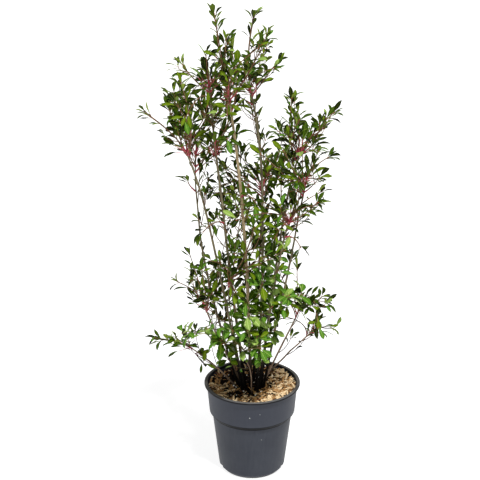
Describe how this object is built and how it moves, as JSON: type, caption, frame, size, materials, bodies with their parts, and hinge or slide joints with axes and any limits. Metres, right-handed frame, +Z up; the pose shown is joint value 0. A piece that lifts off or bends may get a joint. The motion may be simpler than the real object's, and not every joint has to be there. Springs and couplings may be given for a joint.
{
  "type": "potted redvein enkianthus",
  "caption": "Potted deciduous shrub in leaf: slender canes rise from one crown at soil level and end in whorls of leafy shoots, in a tapering nursery pot with a stepped collar.",
  "frame": {"origin": "centre of the pot's flat underside", "axes": "+Z up along the pot's axis, -Y towards the side that the picture shows"},
  "size_m": [0.3998, 0.3271, 0.9407],
  "materials": {
    "pot_plastic": "moulded recycled polypropylene, dark slate grey, satin",
    "compost": "bark compost under a mulch of pale wood chips",
    "bark": "smooth grey-brown young bark",
    "leaf_mature": "mature mid-green leaves",
    "leaf_fresh": "young bright green leaves"
  },
  "bodies": {
    "root": {"pot": "pot_plastic", "compost": "compost", "cane_centre": "bark", "cane_back_centre": "bark", "cane_left_centre": "bark", "cane_left": "bark", "cane_far_left": "bark", "cane_right": "bark", "cane_right_front": "bark", "cane_back": "bark", "cane_right_low": "bark", "cane_low_right": "bark", "cane_far_right": "bark", "cane_low_left": "bark", "cane_left_low": "bark", "cane_front_left": "bark", "cane_front": "bark", "cane_front_right": "bark", "foliage_centre_top": "leaf_mature", "foliage_centre_front": "leaf_mature", "foliage_centre_right": "leaf_mature", "foliage_centre_mid": "leaf_mature", "foliage_back_centre_top": "leaf_mature", "foliage_back_centre_right": "leaf_mature", "foliage_back_centre_back": "leaf_mature", "foliage_back_centre_mid": "leaf_mature", "foliage_left_centre_top": "leaf_mature", "foliage_left_centre_left": "leaf_mature", "foliage_left_centre_back": "leaf_mature", "foliage_left_centre_inner": "leaf_mature", "foliage_left_centre_low": "leaf_mature", "foliage_left_reach": "leaf_mature", "foliage_left_top": "leaf_mature", "foliage_far_left_top": "leaf_mature", "foliage_far_left_side": "leaf_mature", "foliage_right_reach": "leaf_mature", "foliage_right_top": "leaf_mature", "foliage_right_inner": "leaf_mature", "foliage_right_back": "leaf_mature", "foliage_right_front_reach": "leaf_mature", "foliage_right_front_front": "leaf_mature", "foliage_back_top": "leaf_mature", "foliage_back_back": "leaf_mature", "foliage_back_left": "leaf_mature", "foliage_right_low_reach": "leaf_mature", "foliage_right_low_front": "leaf_mature", "foliage_right_low_side": "leaf_mature", "foliage_low_right_reach": "leaf_mature", "foliage_low_right_back": "leaf_mature", "foliage_far_right_reach": "leaf_mature", "foliage_low_left_reach": "leaf_fresh", "foliage_low_left_up": "leaf_fresh", "foliage_left_low_reach": "leaf_mature", "foliage_left_low_top": "leaf_mature", "foliage_front_left_top": "leaf_fresh", "foliage_front_left_front": "leaf_fresh", "foliage_front_lower_left": "leaf_fresh", "foliage_front_lower_right": "leaf_fresh", "foliage_front_right_top": "leaf_fresh"}
  },
  "joints": []
}
